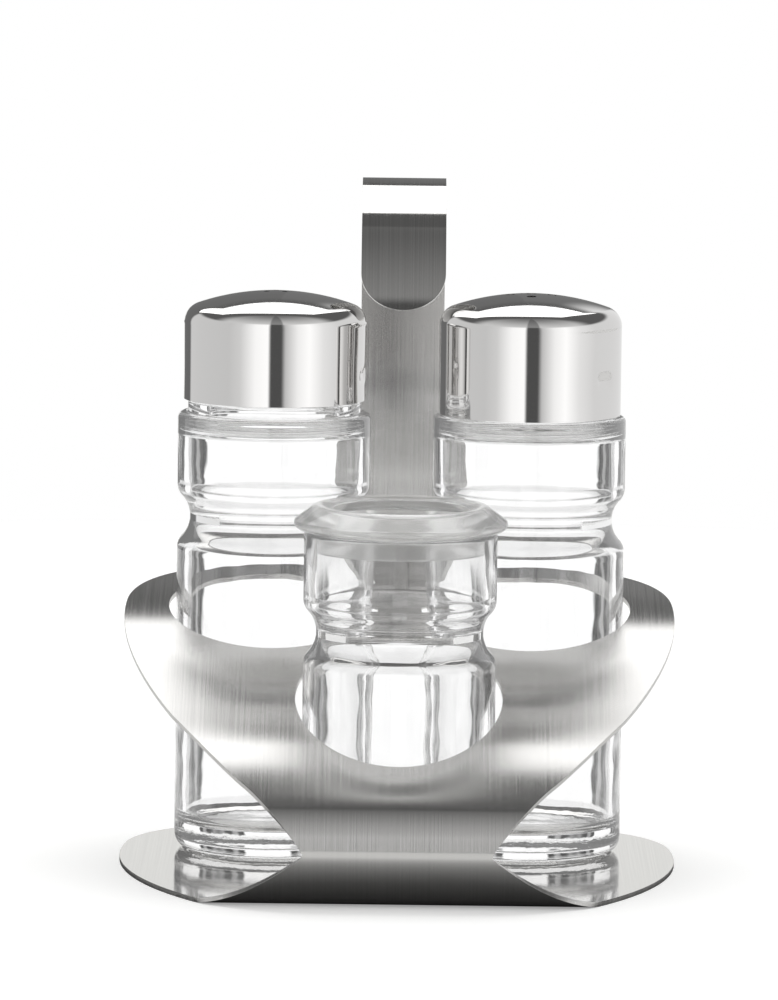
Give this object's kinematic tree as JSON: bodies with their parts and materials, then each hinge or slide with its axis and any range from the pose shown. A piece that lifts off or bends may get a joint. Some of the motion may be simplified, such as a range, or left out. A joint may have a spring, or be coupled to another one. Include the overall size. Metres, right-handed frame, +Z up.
{
  "type": "table condiment set",
  "caption": "Table menage: a bent sheet-steel stand with a hook handle that holds glass shakers for salt and pepper and a glass toothpick jar, all of which lift out.",
  "frame": {"origin": "on the table, under the middle of the set's bounding box", "axes": "+Z up, -Y towards the front of the stand, where its bend and the toothpick jar are, +X to the salt shaker's side"},
  "size_m": [0.1166, 0.1224, 0.14],
  "materials": {
    "brushed_sheet": "stainless sheet, brushed along the strip on its outer face and near mirror on its inner face",
    "polished_cap": "deep-drawn stainless steel, polished",
    "clear_glass": "clear pressed glass",
    "white_plastic": "moulded polypropylene",
    "frosted_plastic": "translucent natural polyethylene, moulded"
  },
  "bodies": {
    "stand": {"stand": "brushed_sheet"},
    "salt_shaker": {"salt_bottle": "clear_glass"},
    "salt_lid": {"salt_cap": "polished_cap", "salt_cap_insert": "white_plastic"},
    "pepper_shaker": {"pepper_bottle": "clear_glass"},
    "pepper_lid": {"pepper_cap": "polished_cap", "pepper_cap_insert": "white_plastic"},
    "jar": {"toothpick_jar": "clear_glass"},
    "jar_lid": {"toothpick_collar": "frosted_plastic"}
  },
  "joints": [
    {"name": "salt_lift", "type": "slide", "parent": "stand", "child": "salt_shaker", "axis": [0, 0, 1], "range_m": [0, 0.065]},
    {"name": "salt_cap_off", "type": "slide", "parent": "salt_shaker", "child": "salt_lid", "axis": [0, 0, 1], "range_m": [0, 0.02]},
    {"name": "pepper_lift", "type": "slide", "parent": "stand", "child": "pepper_shaker", "axis": [0, 0, 1], "range_m": [0, 0.065]},
    {"name": "pepper_cap_off", "type": "slide", "parent": "pepper_shaker", "child": "pepper_lid", "axis": [0, 0, 1], "range_m": [0, 0.02]},
    {"name": "jar_lift", "type": "slide", "parent": "stand", "child": "jar", "axis": [0, 0, 1], "range_m": [0, 0.055]},
    {"name": "collar_pull", "type": "slide", "parent": "jar", "child": "jar_lid", "axis": [0, 0, 1], "range_m": [0, 0.012]}
  ]
}
